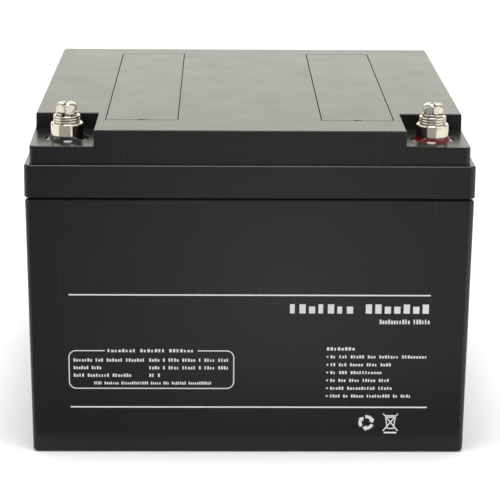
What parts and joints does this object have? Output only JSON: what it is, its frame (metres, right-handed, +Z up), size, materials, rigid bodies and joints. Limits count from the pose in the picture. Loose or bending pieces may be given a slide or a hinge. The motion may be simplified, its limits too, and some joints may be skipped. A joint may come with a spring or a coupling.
{
  "type": "deep cycle battery",
  "caption": "Boxy black deep cycle battery with a stepped lid, two corner screw terminals set in resin, lift-off vent covers and a lithium cell pack inside.",
  "frame": {"origin": "centre of the battery's base, on the surface it stands on", "axes": "+Z up, +X to the right when facing the terminal side, the terminal side faces -Y; negative terminal at -X, positive at +X"},
  "size_m": [0.166, 0.175, 0.1323],
  "materials": {
    "case_black": "gloss",
    "cover_black": "gloss",
    "resin_black": "gloss",
    "resin_red": "gloss",
    "tinned_brass": "satin",
    "plated_steel": "satin",
    "spring_steel": "satin",
    "o_ring_rubber": "matte",
    "brass_nut": "satin",
    "tinned_copper": "satin",
    "jacket_black": "satin",
    "jacket_red": "satin",
    "holder_abs": "matte",
    "can_steel": "satin",
    "shrink_sleeve": "satin",
    "electrode_roll": "matte",
    "cap_steel": "satin",
    "bus_copper": "satin",
    "barley_paper": "matte",
    "packing_foam": "matte",
    "board_laminate": "satin",
    "heatsink_aluminium": "satin",
    "component_black": "matte",
    "resistor_ceramic": "matte",
    "connector_nylon": "satin",
    "lead_jacket": "satin",
    "standoff_nylon": "satin",
    "screw_steel": "satin",
    "probe_jacket": "satin",
    "glass_tape": "satin"
  },
  "bodies": {
    "root": {"case_container": "case_black", "case_lid": "case_black", "neg_terminal_post": "tinned_brass", "pos_terminal_post": "tinned_brass", "neg_seal_resin": "resin_black", "pos_seal_resin": "resin_red", "neg_post_o_ring": "o_ring_rubber", "pos_post_o_ring": "o_ring_rubber", "neg_post_nut": "brass_nut", "pos_post_nut": "brass_nut", "neg_cable_lug": "tinned_copper", "pos_cable_lug": "tinned_copper", "neg_output_cable": "jacket_black", "pos_output_cable": "jacket_red", "pack_negative_cable": "jacket_black", "upper_cell_holder": "holder_abs", "lower_cell_holder": "holder_abs", "cell_cans_1": "can_steel", "cell_cans_2": "can_steel", "cell_cans_3": "can_steel", "cell_cans_4": "can_steel", "cell_sleeves_1": "shrink_sleeve", "cell_sleeves_2": "shrink_sleeve", "cell_sleeves_3": "shrink_sleeve", "cell_sleeves_4": "shrink_sleeve", "cell_electrode_rolls": "electrode_roll", "cell_positive_caps": "cap_steel", "bus_plate_negative": "bus_copper", "bus_plate_mid_top": "bus_copper", "bus_plate_positive": "bus_copper", "bus_plate_bottom_left": "bus_copper", "bus_plate_bottom_right": "bus_copper", "top_insulation_sheet": "barley_paper", "base_foam_pad": "packing_foam", "left_side_foam": "packing_foam", "right_side_foam": "packing_foam", "lid_foam_pad": "packing_foam", "bms_board": "board_laminate", "bms_heatsink": "heatsink_aluminium", "bms_mosfets": "component_black", "bms_shunt_resistors": "resistor_ceramic", "bms_controller_chips": "component_black", "balance_connector": "connector_nylon", "balance_leads": "lead_jacket", "bms_standoffs": "standoff_nylon", "bms_screws": "screw_steel", "temperature_probe": "probe_jacket", "pack_straps": "glass_tape"},
    "left_cover": {"left_vent_cover": "cover_black"},
    "right_cover": {"right_vent_cover": "cover_black"},
    "neg_washers": {"neg_flat_washers": "plated_steel", "neg_spring_washer": "spring_steel"},
    "neg_bolt": {"neg_terminal_bolt": "plated_steel"},
    "pos_washers": {"pos_flat_washers": "plated_steel", "pos_spring_washer": "spring_steel"},
    "pos_bolt": {"pos_terminal_bolt": "plated_steel"}
  },
  "joints": [
    {"name": "neg_washers_rise", "type": "slide", "parent": "root", "child": "neg_washers", "axis": [0, 0, 1], "range_m": [0, 0.008]},
    {"name": "neg_bolt_turn", "type": "hinge", "parent": "neg_washers", "child": "neg_bolt", "pos_m": [-0.068, -0.0708, 0.131], "axis": [0, 0, 1], "range_deg": [0, 3600]},
    {"name": "pos_washers_rise", "type": "slide", "parent": "root", "child": "pos_washers", "axis": [0, 0, 1], "range_m": [0, 0.008]},
    {"name": "pos_bolt_turn", "type": "hinge", "parent": "pos_washers", "child": "pos_bolt", "pos_m": [0.068, -0.0708, 0.131], "axis": [0, 0, 1], "range_deg": [0, 3600]},
    {"name": "left_cover_lift", "type": "slide", "parent": "root", "child": "left_cover", "axis": [0, 0, 1], "range_m": [0, 0.02]},
    {"name": "right_cover_lift", "type": "slide", "parent": "root", "child": "right_cover", "axis": [0, 0, 1], "range_m": [0, 0.02]}
  ],
  "couplings": [
    {"joint": "neg_bolt_turn", "follows": "neg_washers_rise", "rad_per_m": 7854},
    {"joint": "pos_bolt_turn", "follows": "pos_washers_rise", "rad_per_m": 7854}
  ]
}
